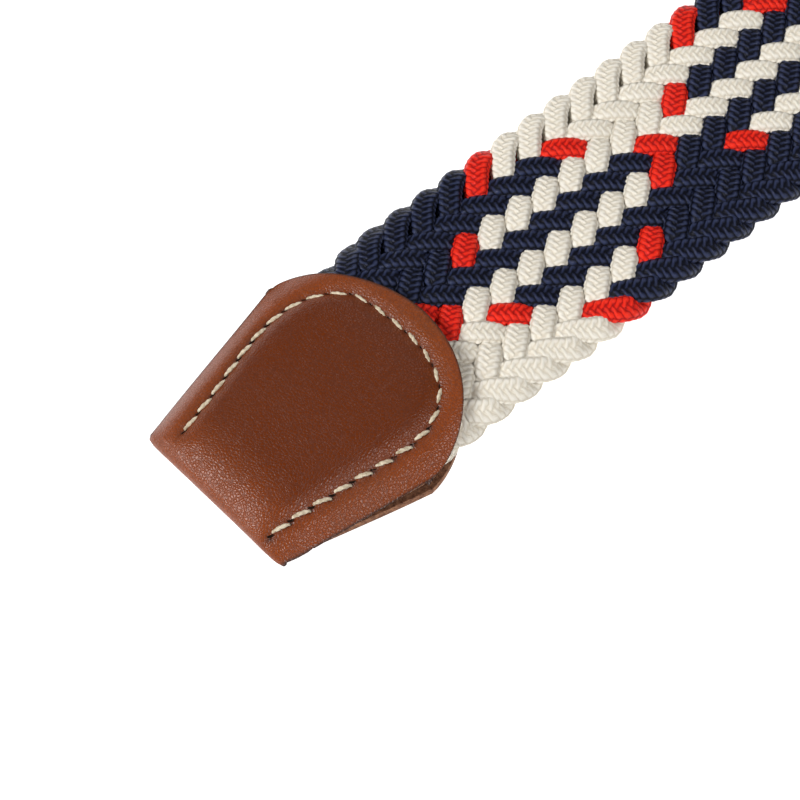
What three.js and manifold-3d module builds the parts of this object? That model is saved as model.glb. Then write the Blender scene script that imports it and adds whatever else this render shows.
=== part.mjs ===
// A braided stretch belt lying flat and straight, in millimetres, +Z up.
// The leather tip points along -X and the buckle along +X. The origin is on
// the surface that the belt lies on, below the middle of its length.

import * as THREE from 'three';
import { mergeVertices } from 'three/addons/utils/BufferGeometryUtils.js';
import Module from 'manifold-3d';

const wasm = await Module();
wasm.setup();

// Driving dimensions

const BELT_LENGTH = 950;

const STRAP_WIDTH = 35;
const STRAP_THICKNESS = 4.2;
// from one cord's turn at an edge of the braid to the next cord's turn
const CORD_PITCH = 5.23;
// how far the edge dips in between two turns, and how far its rounding reaches
const EDGE_SCALLOP = 1.2;
const EDGE_ROUND = 1.5;
// past a wrap the strap comes down to the surface over this length
const SETTLE_RUN = 22;

const LEATHER = 1.3;
const CLEARANCE = 0.3;
// rounding of a fold's two corners, seen from above
const FOLD_CORNER = 1.6;
// leather left between the fold of the tip and the strap's end
const TIP_FOLD_WALL = 2;
const TIP_FOLD_WIDTH = 26.2;
const TIP_SIDE = 26;
const TIP_ARCH = 13.8;

// the tab round the buckle's bar, and the leather from its slot to the strap's end
const TAB_SIDE = 34;
const TAB_ARCH = 12;
const TAB_INSET = 3;
const TAB_WEB = 3;

const BAR_DIAMETER = 3.6;
const FRAME_PLAY = 1.5;
const FRAME_RIM = 5;
const FRAME_THICKNESS = 4;
const FRAME_REACH = 30;
const FRAME_CORNER = 9;
const FRAME_BEVEL = 0.7;
const PRONG_DIAMETER = 3.4;
const EYE_WIDTH = 5;
const EYE_WALL = 1.2;

// Derived sizes

const halfStrap = STRAP_WIDTH / 2;
const cover = LEATHER + CLEARANCE;
const halfWrap = halfStrap + cover;
const halfFrame = halfStrap + FRAME_PLAY;
const foldRadius = BAR_DIAMETER / 2 + cover;
const eyeRadius = BAR_DIAMETER / 2 + EYE_WALL;
const barX = BELT_LENGTH / 2 - FRAME_RIM - FRAME_REACH;
const slotEnd = foldRadius + eyeRadius + CLEARANCE;

// Sections of the two wraps. run is a share of the wrap's length from its
// fold, crown and edge are the thickness of what lies between the leathers at
// the middle and at the sides, as shares of the core, and core goes from 0,
// the fold's own core, to 1, the strap's thickness.

const TIP_SECTIONS = [
  { run: 0.00, crown: 0.45, edge: 0.06, core: 1 },
  { run: 0.10, crown: 0.55, edge: 0.10, core: 1 },
  { run: 0.25, crown: 0.70, edge: 0.14, core: 1 },
  { run: 0.50, crown: 0.93, edge: 0.18, core: 1 },
  { run: 0.75, crown: 1.00, edge: 0.24, core: 1 },
  { run: 1.00, crown: 1.00, edge: 0.34, core: 1 },
];

const TAB_SECTIONS = [
  { run: 0.00, crown: 1.00, edge: 1.00, core: 0 },
  { run: 0.15, crown: 1.00, edge: 0.90, core: 0 },
  { run: 0.30, crown: 1.00, edge: 0.30, core: 1 },
  { run: 0.75, crown: 1.00, edge: 0.24, core: 1 },
  { run: 1.00, crown: 1.00, edge: 0.34, core: 1 },
];

// the puff of a wrap is flat in the middle and falls off towards its sides
const PUFF_POWER = 4;
// the flap's edge is an arch a little fuller in the middle than an ellipse
const ARCH_POWER = 1.8;

const TIP = {
  length: TIP_SIDE + TIP_ARCH,
  side: TIP_SIDE,
  arch: TIP_ARCH,
  halfFold: TIP_FOLD_WIDTH / 2,
  foldCore: STRAP_THICKNESS,
  sections: TIP_SECTIONS,
  strapEnd: TIP_FOLD_WALL + CLEARANCE,
};

const TAB = {
  length: TAB_SIDE + TAB_ARCH,
  side: TAB_SIDE,
  arch: TAB_ARCH,
  halfFold: halfFrame - TAB_INSET,
  foldCore: BAR_DIAMETER,
  sections: TAB_SECTIONS,
  strapEnd: slotEnd + TAB_WEB + CLEARANCE,
};

// Helpers for shapes

const lerp = THREE.MathUtils.lerp;
const smooth = (value) => THREE.MathUtils.smoothstep(value, 0, 1);

// A closed body from rings of points that all have the same count.
function loft(rings) {
  const count = rings[0].length;
  const last = rings.length - 1;
  const index = [];
  for (let r = 0; r < last; r += 1) {
    for (let i = 0; i < count; i += 1) {
      const j = (i + 1) % count;
      const a = r * count + i;
      const b = r * count + j;
      index.push(a, b, a + count, b, b + count, a + count);
    }
  }
  for (let i = 1; i < count - 1; i += 1) {
    index.push(0, i + 1, i);
    index.push(last * count, last * count + i, last * count + i + 1);
  }
  return bodyOf(rings.flat(2), index);
}

// A closed cushion over an outline: rings of the outline shrunk towards its
// middle, once on the top surface and once on the bottom surface.
function cushion(outline, middle, shares, heights) {
  const count = outline.length;
  const points = [];
  const index = [];
  for (const face of ['top', 'bottom']) {
    for (const share of shares) {
      for (const [a, w] of outline) {
        const x = lerp(middle, a, share);
        points.push(x, w * share, heights(x, w * share, share)[face]);
      }
    }
    points.push(middle, 0, heights(middle, 0, 0)[face]);
  }
  const layer = shares.length * count + 1;
  const quad = (a, b, c, d) => index.push(a, b, c, a, c, d);
  for (let i = 0; i < count; i += 1) {
    const j = (i + 1) % count;
    for (let r = 0; r + 1 < shares.length; r += 1) {
      const near = r * count;
      const far = near + count;
      quad(near + i, near + j, far + j, far + i);
      quad(layer + near + j, layer + near + i, layer + far + i, layer + far + j);
    }
    const inner = layer - 1 - count;
    index.push(inner + i, inner + j, layer - 1);
    index.push(layer + inner + j, layer + inner + i, 2 * layer - 1);
    quad(layer + i, layer + j, j, i);
  }
  return bodyOf(points, index);
}

function bodyOf(points, index) {
  const geometry = new THREE.BufferGeometry();
  geometry.setAttribute('position', new THREE.Float32BufferAttribute(points, 3));
  geometry.setIndex(index);
  return geometry;
}

function solidOf(geometry) {
  const bare = geometry.clone();
  bare.deleteAttribute('normal');
  bare.deleteAttribute('uv');
  const merged = mergeVertices(bare, 1e-4);
  return new wasm.Manifold(new wasm.Mesh({
    numProp: 3,
    vertProperties: new Float32Array(merged.attributes.position.array),
    triVerts: new Uint32Array(merged.index.array),
  }));
}

function geometryOf(solid) {
  const mesh = solid.getMesh();
  return bodyOf(Array.from(mesh.vertProperties), Array.from(mesh.triVerts));
}

function piece(name, geometry, colour, roughness, metalness) {
  geometry.computeVertexNormals();
  const material = new THREE.MeshStandardMaterial({ color: colour, roughness, metalness });
  const mesh = new THREE.Mesh(geometry, material);
  mesh.name = name;
  return mesh;
}

// Form of a wrap. a runs from its fold towards the strap, w across it.

function sectionAt(wrap, a) {
  const run = THREE.MathUtils.clamp(a / wrap.length, 0, 1);
  const next = wrap.sections.findIndex((row) => row.run >= run);
  const high = wrap.sections[Math.max(next, 1)];
  const low = wrap.sections[Math.max(next, 1) - 1];
  const way = (run - low.run) / (high.run - low.run);
  const core = lerp(wrap.foldCore, STRAP_THICKNESS, lerp(low.core, high.core, way));
  return {
    crown: core * lerp(low.crown, high.crown, way),
    edge: core * lerp(low.edge, high.edge, way),
  };
}

function halfWidthAt(wrap, a) {
  return lerp(wrap.halfFold, halfWrap, THREE.MathUtils.clamp(a / wrap.side, 0, 1));
}

// Thickness of what the leather holds at a place of the wrap.
function fillAt(wrap, a, w) {
  const { crown, edge } = sectionAt(wrap, a);
  const out = Math.min(Math.abs(w) / halfWidthAt(wrap, a), 1);
  return lerp(crown, edge, out ** PUFF_POWER);
}

// The nose of the fold and the pinched sides are rounded, the cut arch is not.
const NOSE_FLAT = 0.94;
const SIDE_ROUND = 0.5;

function wrapHeights(wrap) {
  const noseRadius = cover + wrap.foldCore * wrap.sections[0].crown / 2;
  return (a, w, share) => {
    const top = 2 * cover + fillAt(wrap, a, w);
    const back = NOSE_FLAT * Math.max(1 - a / noseRadius, 0);
    const cut = a > wrap.side;
    const side = share < 1 || cut ? 1 : SIDE_ROUND;
    const open = Math.sqrt(1 - back * back) * side;
    return { top: top / 2 * (1 + open), bottom: top / 2 * (1 - open) };
  };
}

const FOLD_SHARES = [1, 0.96, 0.85, 0.6, 0.2, -0.2, -0.6, -0.85, -0.96];
const CORNER_POWER = 6;
const SIDE_STEPS = 4;
const ARCH_STEPS = 22;
const CUSHION_SHARES = [1, 0.96, 0.88, 0.76, 0.6, 0.35];

function wrapOutline(wrap) {
  const points = [];
  for (const share of FOLD_SHARES) {
    const back = 1 - Math.sqrt(1 - Math.abs(share) ** CORNER_POWER);
    points.push([FOLD_CORNER * back, wrap.halfFold * share]);
  }
  for (let i = 0; i < SIDE_STEPS; i += 1) {
    const a = lerp(FOLD_CORNER, wrap.side, i / SIDE_STEPS);
    points.push([a, -halfWidthAt(wrap, a)]);
  }
  for (let i = 0; i < ARCH_STEPS; i += 1) {
    const angle = Math.PI * i / ARCH_STEPS;
    const across = Math.sign(Math.cos(angle)) * Math.abs(Math.cos(angle)) ** (2 / ARCH_POWER);
    const along = Math.sin(angle) ** (2 / ARCH_POWER);
    points.push([wrap.side + wrap.arch * along, -halfWrap * across]);
  }
  for (let i = 0; i < SIDE_STEPS; i += 1) {
    const a = lerp(wrap.side, FOLD_CORNER, i / SIDE_STEPS);
    points.push([a, halfWidthAt(wrap, a)]);
  }
  return points;
}

// Section of the strap, or of the pocket that it fills when grow is the
// clearance: eight points with a flat bottom, rounded edges and a flat crown.

const CROWN_SHARE = 0.6;
const EDGE_FILL = 0.86;
const WAIST = 0.45;

function bandRing(x, half, low, fill, grow) {
  const outer = half + grow;
  const shoulder = outer - EDGE_ROUND;
  const crown = half * CROWN_SHARE;
  const bottom = low - grow;
  const shoulderTop = low + fill(shoulder) + grow;
  const crownTop = low + fill(crown) + grow;
  const waist = lerp(bottom, shoulderTop, WAIST);
  return [
    [x, -shoulder, bottom], [x, shoulder, bottom], [x, outer, waist],
    [x, shoulder, shoulderTop], [x, crown, crownTop], [x, -crown, crownTop],
    [x, -shoulder, shoulderTop], [x, -outer, waist],
  ];
}

const freeFill = (half) => (w) => (
  STRAP_THICKNESS * (Math.abs(w) > half * CROWN_SHARE ? EDGE_FILL : 1)
);

// Half width and fill of the strap inside a wrap, before any scallops.
const heldHalf = (wrap, a) => halfWidthAt(wrap, a) - cover;
const heldFill = (wrap, a) => (w) => fillAt(wrap, a, w);

// Stations of the strap inside a wrap, from its end to where its sides go free.
function heldStations(wrap) {
  const between = wrap.sections
    .map((row) => row.run * wrap.length)
    .filter((a) => a > wrap.strapEnd + EDGE_ROUND && a < wrap.side - EDGE_ROUND);
  return [wrap.strapEnd, ...between, wrap.side];
}

function heldRing(wrap, a, grow) {
  return bandRing(a, heldHalf(wrap, a), cover, heldFill(wrap, a), grow);
}

// Pieces

// The leather of a wrap: folded round the strap's end, with a pocket in it.
const MOUTH = 3;

function wrapSolid(wrap) {
  const middle = wrap.length / 2;
  const body = solidOf(cushion(wrapOutline(wrap), middle, CUSHION_SHARES, wrapHeights(wrap)));
  const stations = heldStations(wrap);
  stations[0] -= CLEARANCE;
  const rings = stations.map((a) => heldRing(wrap, a, CLEARANCE));
  const beyond = wrap.sections
    .map((row) => row.run * wrap.length)
    .filter((a) => a > wrap.side + EDGE_ROUND);
  beyond.forEach((a) => rings.push(heldRing(wrap, a, CLEARANCE)));
  rings.push(heldRing(wrap, wrap.length + MOUTH, CLEARANCE));
  return body.subtract(solidOf(loft(rings)));
}

function leatherTip() {
  const geometry = geometryOf(wrapSolid(TIP));
  geometry.translate(-BELT_LENGTH / 2, 0, 0);
  return piece('leather_tip', geometry, 0x7d3f25, 0.5, 0);
}

function bar(radius, width) {
  return new THREE.CylinderGeometry(radius, radius, width, 16);
}

function buckleTab() {
  const tunnel = bar(BAR_DIAMETER / 2 + CLEARANCE, 2 * (halfWrap + MOUTH));
  tunnel.translate(foldRadius, 0, foldRadius);
  const slotHeight = 2 * foldRadius + STRAP_THICKNESS;
  const slot = new THREE.BoxGeometry(slotEnd + MOUTH, EYE_WIDTH + 2 * CLEARANCE, slotHeight * 2);
  slot.translate((slotEnd - MOUTH) / 2, 0, 0);
  const solid = wrapSolid(TAB).subtract(solidOf(tunnel)).subtract(solidOf(slot));
  const geometry = geometryOf(solid);
  geometry.rotateZ(Math.PI);
  geometry.translate(barX + foldRadius, 0, 0);
  return piece('buckle_tab', geometry, 0x7d3f25, 0.5, 0);
}

// The braid as one band. Its edges dip between the cords' turns, and the dips
// of one edge lie opposite the turns of the other.
function braidedStrap() {
  const tipX = -BELT_LENGTH / 2;
  const tabX = barX + foldRadius;
  const fromTip = (a) => tipX + a;
  const fromTab = (a) => tabX - a;
  const rings = [];
  const held = (wrap, place) => heldStations(wrap).slice(0, -1).map((a) => {
    const ring = heldRing(wrap, a, 0);
    return ring.map(([, y, z]) => [place(a), y, z]);
  });
  rings.push(...held(TIP, fromTip));

  const start = fromTip(TIP.side);
  const end = fromTab(TAB.side);
  const count = 2 * Math.round((end - start) / CORD_PITCH);
  for (let i = 0; i <= count; i += 1) {
    const x = lerp(start, end, i / count);
    const [wrap, a] = x < (start + end) / 2 ? [TIP, x - tipX] : [TAB, tabX - x];
    const free = smooth((a - wrap.length) / SETTLE_RUN);
    const dip = i === 0 || i === count ? 0 : EDGE_SCALLOP;
    const near = halfStrap - (i % 2 === 0 ? dip : 0);
    const far = halfStrap - (i % 2 === 0 ? 0 : dip);
    const fill = (w) => lerp(heldFill(wrap, a)(w), freeFill(halfStrap)(w), free);
    const low = cover * (1 - free);
    const left = bandRing(x, near, low, fill, 0);
    const right = bandRing(x, far, low, fill, 0);
    rings.push(left.map((point, k) => (point[1] < 0 ? right[k] : point)));
  }

  rings.push(...held(TAB, fromTab).reverse());
  return piece('braided_strap', loft(rings), 0x222b4a, 0.7, 0);
}

// The buckle: a frame open towards the tab, a round bar across it and a prong
// from the bar to the far rim, all one piece. It is drawn round its bar and
// then tipped until its far rim lies on the surface.

function frameShape() {
  const outer = halfFrame + FRAME_RIM;
  const reach = FRAME_REACH + FRAME_RIM;
  const heelRound = FRAME_RIM / 2;
  const heel = heelRound - eyeRadius;
  const inCorner = Math.max(FRAME_CORNER - FRAME_RIM, FRAME_BEVEL * 2);
  const shape = new THREE.Shape();
  shape.moveTo(heel, -outer);
  shape.lineTo(reach - FRAME_CORNER, -outer);
  shape.absarc(reach - FRAME_CORNER, FRAME_CORNER - outer, FRAME_CORNER, -Math.PI / 2, 0);
  shape.lineTo(reach, outer - FRAME_CORNER);
  shape.absarc(reach - FRAME_CORNER, outer - FRAME_CORNER, FRAME_CORNER, 0, Math.PI / 2);
  shape.lineTo(heel, outer);
  shape.absarc(heel, outer - heelRound, heelRound, Math.PI / 2, Math.PI * 1.5);
  shape.lineTo(FRAME_REACH - inCorner, halfFrame);
  shape.absarc(FRAME_REACH - inCorner, halfFrame - inCorner, inCorner, Math.PI / 2, 0, true);
  shape.lineTo(FRAME_REACH, inCorner - halfFrame);
  shape.absarc(FRAME_REACH - inCorner, inCorner - halfFrame, inCorner, 0, -Math.PI / 2, true);
  shape.lineTo(heel, -halfFrame);
  shape.absarc(heel, heelRound - outer, heelRound, Math.PI / 2, Math.PI * 1.5);
  shape.closePath();
  return shape;
}

function prongGeometry() {
  const radius = PRONG_DIAMETER / 2;
  const reach = FRAME_REACH + FRAME_RIM - FRAME_BEVEL;
  const rise = FRAME_THICKNESS / 2 + radius * 0.6;
  const length = Math.hypot(reach, rise);
  const profile = [
    [0, 0], [radius, 0], [radius, length * 0.6], [radius * 0.8, length * 0.9],
    [radius * 0.6, length * 0.97], [0, length],
  ].map(([r, y]) => new THREE.Vector2(r, y));
  const prong = new THREE.LatheGeometry(profile, 12);
  prong.rotateZ(Math.atan2(rise, reach) - Math.PI / 2);
  prong.rotateX(Math.PI / 2);
  return prong;
}

function buckle() {
  const frame = new THREE.ExtrudeGeometry(frameShape(), {
    depth: FRAME_THICKNESS - 2 * FRAME_BEVEL,
    bevelThickness: FRAME_BEVEL,
    bevelSize: FRAME_BEVEL,
    bevelOffset: -FRAME_BEVEL,
    bevelSegments: 2,
    curveSegments: 8,
  });
  frame.translate(0, 0, FRAME_BEVEL - FRAME_THICKNESS / 2);
  const eye = bar(eyeRadius, EYE_WIDTH);
  const solid = [bar(BAR_DIAMETER / 2, 2 * halfFrame + FRAME_RIM), eye, prongGeometry()]
    .reduce((whole, part) => whole.add(solidOf(part)), solidOf(frame));
  const geometry = geometryOf(solid);
  const drop = foldRadius - FRAME_THICKNESS / 2;
  geometry.rotateY(Math.asin(drop / (FRAME_REACH + FRAME_RIM)));
  geometry.computeBoundingBox();
  geometry.translate(barX, 0, foldRadius);
  return piece('buckle', geometry, 0xb9b4aa, 0.35, 1);
}

const group = new THREE.Group();
group.add(leatherTip(), braidedStrap(), buckleTab(), buckle());

export default group;
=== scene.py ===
"""A braided stretch belt with a stitched leather tip, lying flat, seen at its tip end."""

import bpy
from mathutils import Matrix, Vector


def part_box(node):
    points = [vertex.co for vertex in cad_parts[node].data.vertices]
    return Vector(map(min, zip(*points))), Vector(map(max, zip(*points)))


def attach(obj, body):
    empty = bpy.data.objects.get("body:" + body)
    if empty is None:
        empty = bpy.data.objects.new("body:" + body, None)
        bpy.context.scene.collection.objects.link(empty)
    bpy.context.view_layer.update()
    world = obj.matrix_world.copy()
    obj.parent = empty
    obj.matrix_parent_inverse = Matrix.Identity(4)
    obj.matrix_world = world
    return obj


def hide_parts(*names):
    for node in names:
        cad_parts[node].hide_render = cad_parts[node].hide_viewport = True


bl_info = {
    "name": "Braided Belt",
    "version": (1, 0, 0),
    "blender": (4, 5, 0),
    "location": "View3D > Sidebar > Belt",
    "description": "Builds the cords, leather, stitches and buckle of a braided belt",
    "category": "Object",
}

import math
from collections import namedtuple

import bpy
import numpy as np
from mathutils import Vector

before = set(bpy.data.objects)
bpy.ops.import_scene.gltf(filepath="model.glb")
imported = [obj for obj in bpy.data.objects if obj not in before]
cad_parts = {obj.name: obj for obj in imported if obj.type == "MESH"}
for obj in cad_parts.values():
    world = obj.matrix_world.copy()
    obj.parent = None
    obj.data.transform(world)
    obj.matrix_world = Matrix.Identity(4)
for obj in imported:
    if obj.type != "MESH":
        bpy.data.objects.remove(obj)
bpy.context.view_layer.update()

MM = 0.001
BODY = "root"

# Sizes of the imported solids, in millimetres
TIP_LOW, TIP_HIGH = (np.array(corner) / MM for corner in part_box("leather_tip"))
TAB_LOW, TAB_HIGH = (np.array(corner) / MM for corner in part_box("buckle_tab"))
STRAP_LOW, STRAP_HIGH = (np.array(corner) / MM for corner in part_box("braided_strap"))

# Sizes of the belt that its box does not tell, in millimetres
STRAP_THICKNESS = 4.2
LEATHER = 1.3
CLEARANCE = 0.3
COVER = LEATHER + CLEARANCE
SETTLE_RUN = 22.0
TIP_FOLD_WIDTH = 26.2
TIP_SIDE = 26.0
TAB_FOLD_WIDTH = 32.0
TAB_SIDE = 34.0
BAR_DIAMETER = 3.6
PUFF_POWER = 4.0
ARCH_POWER = 1.8

# Sections of what lies between the leathers, as shares of a wrap's length and core
TIP_SECTIONS = {
    "run": (0.00, 0.10, 0.25, 0.50, 0.75, 1.00),
    "crown": (0.45, 0.55, 0.70, 0.93, 1.00, 1.00),
    "edge": (0.06, 0.10, 0.14, 0.18, 0.24, 0.34),
    "core": (1.0, 1.0, 1.0, 1.0, 1.0, 1.0),
}
TAB_SECTIONS = {
    "run": (0.00, 0.15, 0.30, 0.75, 1.00),
    "crown": (1.00, 1.00, 1.00, 1.00, 1.00),
    "edge": (1.00, 0.90, 0.30, 0.24, 0.34),
    "core": (0.0, 0.0, 1.0, 1.0, 1.0),
}

# The slot in the tab's fold that the prong's eye fills, in millimetres
SLOT_END = 6.7
SLOT_HALF = 2.8

# Places along the seams, as shares of a wrap's length and of its half width
TIP_SEAM = {
    "run": (0.096, 0.166, 0.251, 0.346, 0.467, 0.590, 0.698, 0.776, 0.837, 0.886, 0.893, 0.901, 0.902,
            0.890, 0.848, 0.791, 0.713, 0.638, 0.545, 0.459, 0.384, 0.293, 0.219, 0.150, 0.044),
    "out": (-0.490, -0.527, -0.562, -0.621, -0.693, -0.741, -0.729, -0.672, -0.576, -0.451, -0.306,
            -0.093, 0.089, 0.297, 0.511, 0.636, 0.716, 0.734, 0.715, 0.684, 0.650, 0.628, 0.594,
            0.570, 0.541),
}
TAB_SEAM = {
    "run": (0.24, 0.34, 0.44, 0.54, 0.64, 0.71, 0.77, 0.82, 0.86, 0.885,
            0.885, 0.86, 0.82, 0.77, 0.71, 0.64, 0.54, 0.44, 0.34, 0.24),
    "out": (-0.71, -0.725, -0.74, -0.755, -0.765, -0.74, -0.66, -0.54, -0.37, -0.13,
            0.13, 0.37, 0.54, 0.66, 0.74, 0.765, 0.755, 0.74, 0.725, 0.71),
}


class Wrap:
    """A piece of leather folded round an end of the strap; a runs from its fold, w across."""

    def __init__(self, low, high, side, fold_width, fold_core, sections, points_left):
        self.length = high[0] - low[0]
        self.fold_x = low[0] if points_left else high[0]
        self.way = 1.0 if points_left else -1.0
        self.side = side
        self.half_fold = fold_width / 2
        self.half_wrap = (high[1] - low[1]) / 2
        self.fold_core = fold_core
        self.sections = sections

    def half_width(self, a):
        return self.half_fold + (self.half_wrap - self.half_fold) * np.clip(a / self.side, 0, 1)

    def fill(self, a, w):
        """Thickness between the two leathers."""
        run = np.clip(a / self.length, 0, 1)
        table = self.sections
        share = np.interp(run, table["run"], table["core"])
        core = self.fold_core + (STRAP_THICKNESS - self.fold_core) * share
        crown = core * np.interp(run, table["run"], table["crown"])
        edge = core * np.interp(run, table["run"], table["edge"])
        out = np.minimum(np.abs(w) / self.half_width(a), 1.0)
        return crown + (edge - crown) * out ** PUFF_POWER

    def reach(self, q):
        """How far from the fold the leather reaches at the share q of its half width."""
        arch = self.length - self.side
        return self.side + arch * (1 - np.abs(q) ** ARCH_POWER) ** (1 / ARCH_POWER)


TIP = Wrap(TIP_LOW, TIP_HIGH, TIP_SIDE, TIP_FOLD_WIDTH, STRAP_THICKNESS, TIP_SECTIONS, True)
TAB = Wrap(TAB_LOW, TAB_HIGH, TAB_SIDE, TAB_FOLD_WIDTH, BAR_DIAMETER, TAB_SECTIONS, False)


def in_slot(place):
    """Whether places of the tab's sheet lie in the slot for the prong."""
    return (place[:, 0] < SLOT_END) & (np.abs(place[:, 1]) < SLOT_HALF)


def smoothstep(value):
    """0 up to 0, 1 from 1 on, and an even S between them."""
    value = np.clip(value, 0.0, 1.0)
    return value * value * (3 - 2 * value)


def closeness(distance, reach):
    """1 where the distance is nothing, fading out over the reach."""
    return np.exp(-(distance / reach) ** 2)


def mesh_piece(name, vertices, faces, node, materials):
    """A smooth mesh object in metres from points in millimetres, riding on the belt."""
    mesh = bpy.data.meshes.new(name)
    vertices = np.asarray(vertices, dtype=np.float64) * MM
    mesh.from_pydata(vertices.tolist(), [], faces)
    for material in materials:
        mesh.materials.append(material)
    mesh.polygons.foreach_set("use_smooth", np.ones(len(mesh.polygons), dtype=bool))
    mesh.update()
    piece = bpy.data.objects.new(name, mesh)
    bpy.context.scene.collection.objects.link(piece)
    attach(piece, BODY)
    if node:
        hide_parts(node)
    return piece


def store_vectors(piece, name, values):
    """Gives each point of a piece a vector that its material reads."""
    attribute = piece.data.attributes.new(name, "FLOAT_VECTOR", "POINT")
    attribute.data.foreach_set("vector", values.ravel())


# The braid

CORDS = 17
# crossings in one round of a cord, from an edge to the other and back
ROUND = CORDS * 2
# points in a ring round a cord, in the finely made stretch and elsewhere
NEAR_POINTS = 24
FAR_POINTS = 12
# where a cord passes through the middle of the braid, counted in crossings; at the two edges
# it dives a little after its turn
LATE = 0.2
DIVES = np.arange(2.5, 15.0, 2.0) - LATE
SWITCHES = np.concatenate([[0], DIVES, [CORDS], CORDS + DIVES, [ROUND]])
# crossings from an edge over which a cord's tilt and the calm of its yarns fade out, and
# from which it is pinched, with the crossings that it takes to the full pinch
TILT_REACH = 1.3
CALM_REACH = 1.1
PINCH_FROM = 1.0
PINCH_RUN = 1.5
# run over which the +Y edge takes its own shape beside a wrap, in millimetres
BARE_RUN = 6.0
# the striped order of the cords
RED_CORDS = (0, 8)
CREAM_CORDS = (1, 2, 3, 4, 5, 6, 7)
# the plaited yarns: the share of a quarter round that one column takes, how far the yarns
# of two columns cross over between them, and how plump they are
COLUMN = 2 / 3
INTERLOCK = 0.14
COLUMN_POWER = 0.6
RIDGE_POWER = 1.9


def lay_strap(points, half_strap):
    """Moves points of the flat braid onto the surface and into its two wraps."""
    x, y, z = points[:, 0], points[:, 1], points[:, 2]
    out = np.empty_like(points)
    for wrap, mine in ((TIP, x < 0), (TAB, x >= 0)):
        a = (x[mine] - wrap.fold_x) * wrap.way
        held = wrap.half_width(a) - COVER
        across = y[mine] * held / half_strap
        free = smoothstep((a - wrap.length) / SETTLE_RUN)
        fill = wrap.fill(a, across)
        fill = fill + (STRAP_THICKNESS - fill) * free
        low = COVER * (1 - free)
        out[mine, 0] = x[mine]
        out[mine, 1] = across
        out[mine, 2] = low + (z[mine] / STRAP_THICKNESS + 0.5) * fill
    return out


def float_arc(u):
    """Whether a cord lies under or over the others, and how far into that float it is."""
    turn = np.mod(u - LATE, ROUND)
    which = np.clip(np.searchsorted(SWITCHES, turn, side="right") - 1, 0, len(SWITCHES) - 2)
    start = np.take(SWITCHES, which)
    share = (turn - start) / (np.take(SWITCHES, which + 1) - start)
    return np.where(which % 2 == 0, -1.0, 1.0), np.sin(np.pi * share)


def edge_distance(u):
    """Crossings from the nearest turn at an edge of the braid."""
    return np.abs(np.mod(u + CORDS / 2, CORDS) - CORDS / 2)


def heads_to(u):
    """1 in the half of a cord's round that turns at the +Y edge, -1 in the other half."""
    return np.where(np.abs(np.mod(u, ROUND) - CORDS) < CORDS / 2, -1.0, 1.0)


def cord_centre(u, number, look):
    """Centre of a cord at crossing u of its own count, in the flat braid."""
    bend = look.turn_round / look.crossing_step
    near = edge_distance(u)
    near = np.where(near < bend, (near ** 2 / bend + bend) / 2, near)
    out = look.strap_width / 2 - look.strap_width / CORDS * near
    heads = heads_to(u)
    drawn = smoothstep((out - look.inset_from) / look.inset_run)
    x = look.lattice_start + (2 * number + u) * look.crossing_step
    bare = (smoothstep((x - TIP_HIGH[0] + BARE_RUN / 2) / BARE_RUN)
            * smoothstep((TAB_LOW[0] + BARE_RUN / 2 - x) / BARE_RUN))
    inset = np.where(heads < 0, look.edge_inset,
                     look.edge_inset + (look.far_inset - look.edge_inset) * bare)
    out = out - inset * drawn
    side, arc = float_arc(u)
    steep = np.tanh(look.float_square * arc) / math.tanh(look.float_square)
    lift = side * (steep * (1 - look.float_crown) + arc * look.float_crown)
    z = lift * look.cord_thickness / 2
    x = x - look.far_lead * drawn * (heads > 0) * bare
    return np.stack([x, out * heads, z], axis=-1)


def plait_relief(along, out, look):
    """Depth below the cord's skin of its plaited yarns, which lean in columns like a herringbone."""
    wave = np.abs(2 * np.mod(along, 1.0) - 1) * 2 - 1
    apart = np.abs(out + INTERLOCK * wave * (1 - np.abs(out)))
    outer = apart > COLUMN
    share = (apart - COLUMN * outer) / COLUMN
    row = np.sin(np.pi * share) ** COLUMN_POWER
    lean = look.yarn_lean * np.where(outer, 1 - share, share)
    phase = along - lean + 0.5 * outer + 0.5 * (out > 0)
    ridge = 1 - np.abs(2 * np.mod(phase, 1.0) - 1) ** RIDGE_POWER
    return look.yarn_relief * (1 - ridge * row)


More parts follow.
